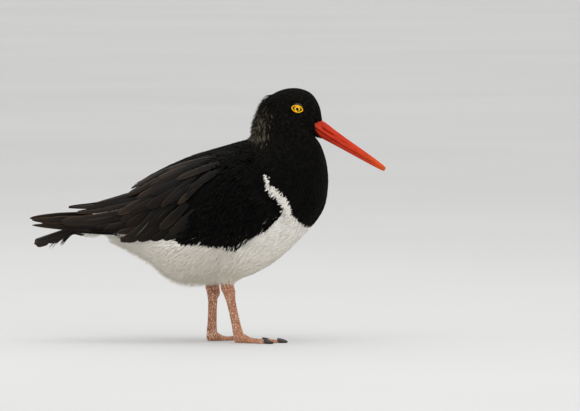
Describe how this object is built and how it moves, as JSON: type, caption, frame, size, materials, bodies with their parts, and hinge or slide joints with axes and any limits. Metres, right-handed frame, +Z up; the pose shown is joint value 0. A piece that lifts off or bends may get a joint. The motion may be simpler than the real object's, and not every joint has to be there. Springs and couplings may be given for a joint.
{
  "type": "oystercatcher",
  "caption": "Pied oystercatcher standing at rest with folded wings, a long straight bill held forward and down, and the right foot ahead of the left.",
  "frame": {"origin": "on the floor, under the centre of the bird's bounding box", "axes": "+X points forward, the way the bill does; +Y is the bird's left; +Z is up"},
  "size_m": [0.3396, 0.1049, 0.2442],
  "materials": {
    "bill": "orange-red horn, satin",
    "black_plumage": "matt black plumage",
    "brown_flight": "dark brown flight feathers, a slight sheen",
    "claw": "near-black horn",
    "eye": "yellow iris with a dark pupil under a clear cornea",
    "leg_skin": "pale pinkish scaly skin",
    "white_plumage": "soft off-white plumage"
  },
  "bodies": {
    "root": {"bill_lower": "bill", "bill_upper": "bill", "claw_left_inner": "claw", "claw_left_middle": "claw", "claw_left_outer": "claw", "claw_right_inner": "claw", "claw_right_middle": "claw", "claw_right_outer": "claw", "eye_left": "eye", "eye_right": "eye", "foot_left": "leg_skin", "foot_right": "leg_skin", "head": "black_plumage", "neck": "black_plumage", "primaries_left": "brown_flight", "primaries_right": "brown_flight", "tail": "black_plumage", "tarsus_left": "leg_skin", "tarsus_right": "leg_skin", "thigh_left": "white_plumage", "thigh_right": "white_plumage", "torso": "white_plumage", "wing_left": "black_plumage", "wing_right": "black_plumage"}
  },
  "joints": []
}
